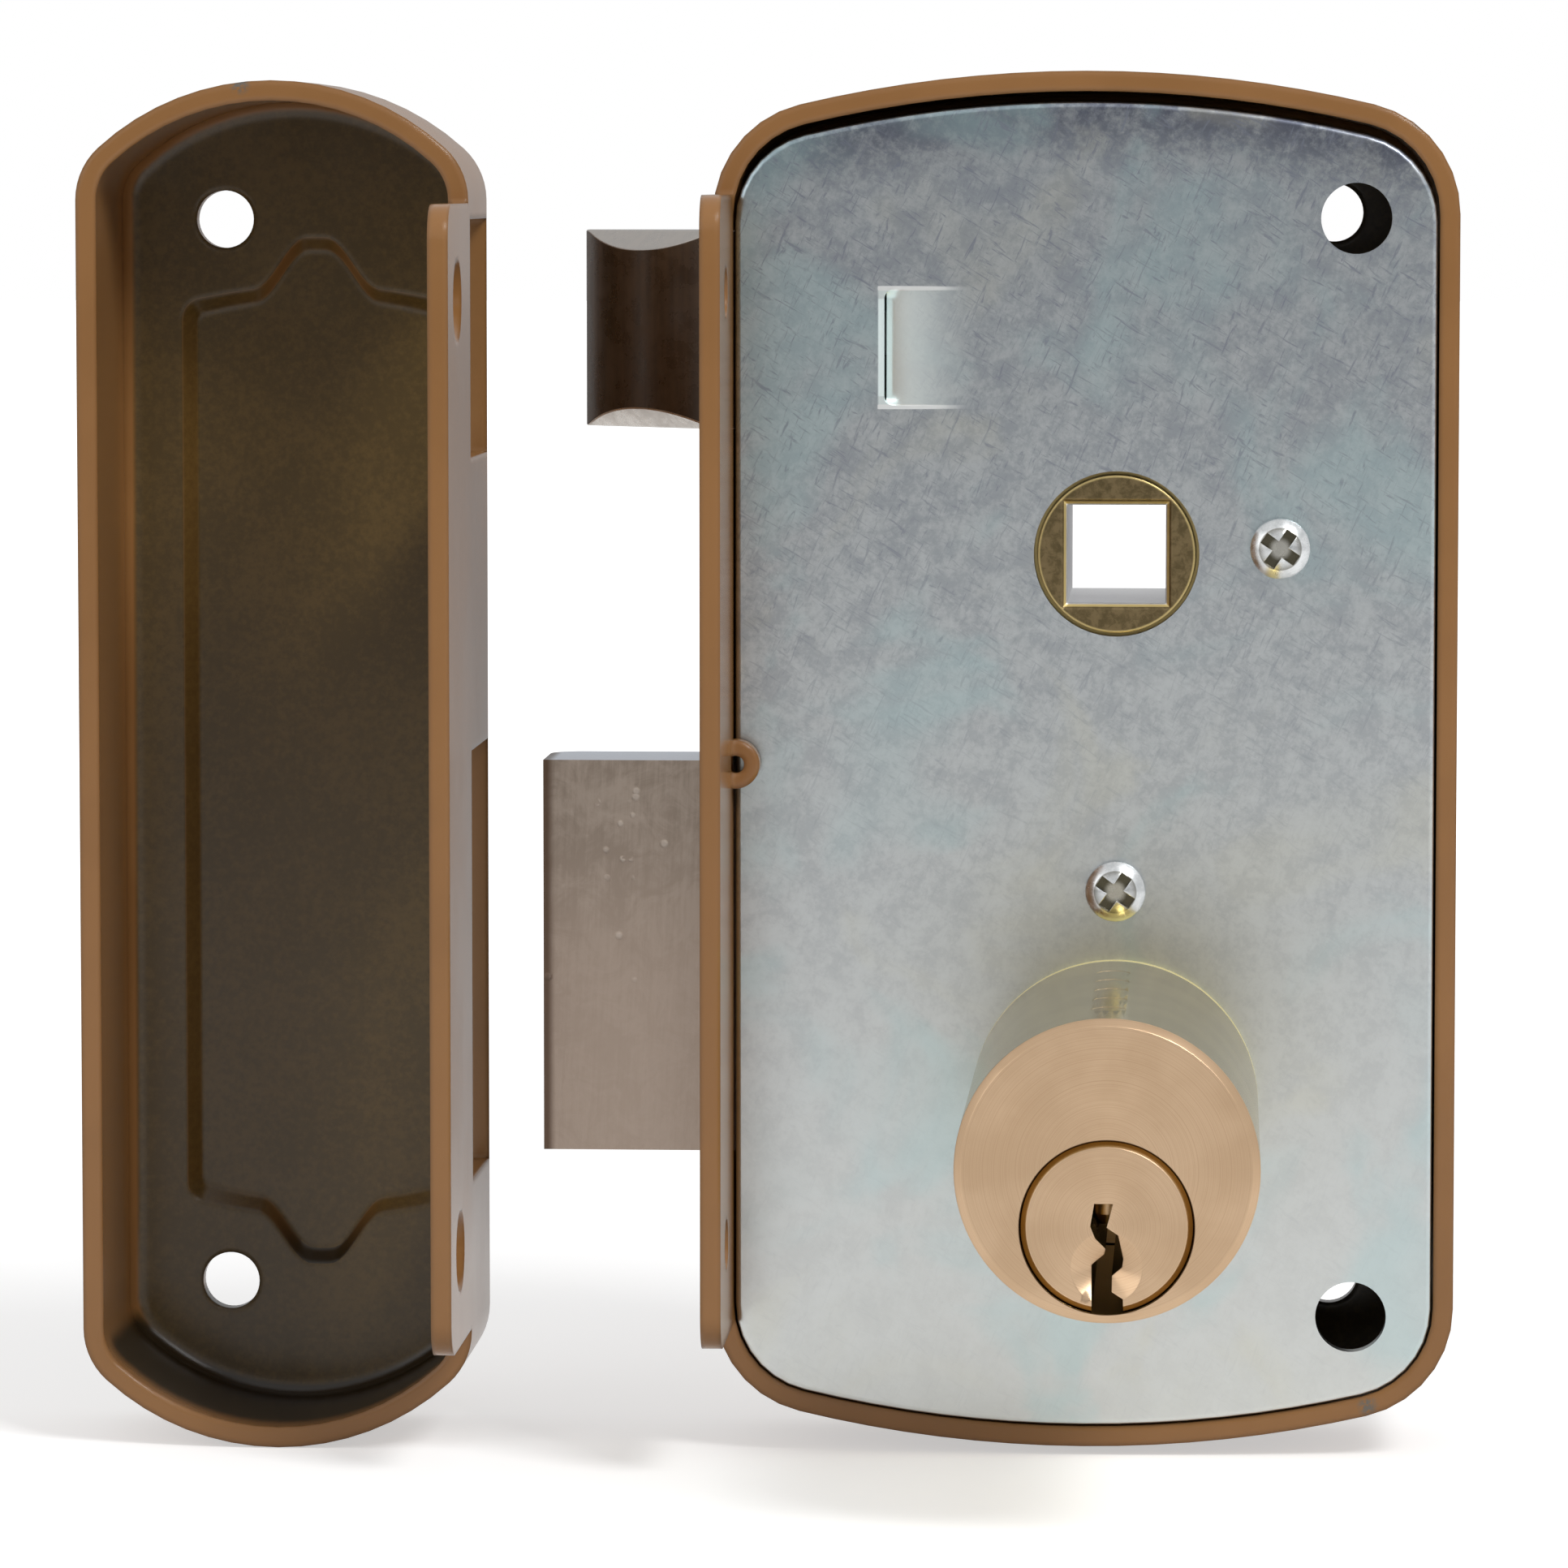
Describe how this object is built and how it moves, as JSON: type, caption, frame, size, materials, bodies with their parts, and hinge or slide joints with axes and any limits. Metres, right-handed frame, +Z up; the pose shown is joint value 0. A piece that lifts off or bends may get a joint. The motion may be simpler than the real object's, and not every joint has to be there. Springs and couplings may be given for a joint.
{
  "type": "rim box lock",
  "caption": "Rim lock in a pressed box with arched ends, spring latch, deadbolt, round key cylinder, square spindle hub and a matching keeper box.",
  "frame": {"origin": "axis of the key cylinder at the outer face of the back plate, where it meets the door", "axes": "+X along the bolts, away from the keeper; +Y from the door into the room; +Z up"},
  "size_m": [0.1173, 0.0831, 0.1177],
  "materials": {
    "paint": "gloss",
    "zinc_plate": "zinc plated",
    "passivated": "yellow passivated",
    "steel": "plain",
    "brass": "turned",
    "bright_screw": "bright",
    "latch_steel": "burnished"
  },
  "bodies": {
    "lock_frame": {"case": "paint", "back_plate": "zinc_plate", "screw_posts": "steel", "plate_screws": "bright_screw", "follower_spring": "steel", "latch_spring": "steel", "spring_stop": "steel", "detent_spring": "steel", "detent_post": "steel", "cylinder_body": "brass", "driver_pins": "brass", "pin_springs": "steel", "chamber_caps": "brass", "cylinder_screws": "steel", "keeper": "paint"},
    "handle_follower": {"follower": "passivated"},
    "latch": {"latch_head": "latch_steel", "latch_tail": "steel", "latch_rivets": "steel"},
    "key_drive": {"cylinder_plug": "brass", "key_pins": "brass", "plug_clip": "steel", "tail_bar": "steel", "drive_cam": "passivated", "cam_pin": "steel", "thumb_turn": "paint"},
    "deadbolt": {"deadbolt_head": "steel", "deadbolt_tail": "steel", "deadbolt_rivets": "steel"}
  },
  "joints": [
    {"name": "latch_slide", "type": "slide", "parent": "lock_frame", "child": "latch", "axis": [1, 0, 0], "range_m": [0, 0.01201], "stiffness_N_per_m": 300, "springref_m": -0.01, "deforming": ["latch_spring"]},
    {"name": "follower_turn", "type": "hinge", "parent": "lock_frame", "child": "handle_follower", "pos_m": [0, 0, 0.0466], "axis": [0, 1, 0], "range_deg": [0, 50.9], "deforming": ["follower_spring"]},
    {"name": "deadbolt_slide", "type": "slide", "parent": "lock_frame", "child": "deadbolt", "axis": [1, 0, 0], "range_m": [0, 0.015], "deforming": ["detent_spring"]},
    {"name": "key_turn", "type": "hinge", "parent": "lock_frame", "child": "key_drive", "pos_m": [0, 0, -0.00445], "axis": [0, 1, 0], "range_deg": [0, 90.2]}
  ],
  "couplings": [
    {"joint": "follower_turn", "follows": "latch_slide", "rad_per_m": 73.823},
    {"joint": "key_turn", "follows": "deadbolt_slide", "rad_per_m": 104.72}
  ]
}
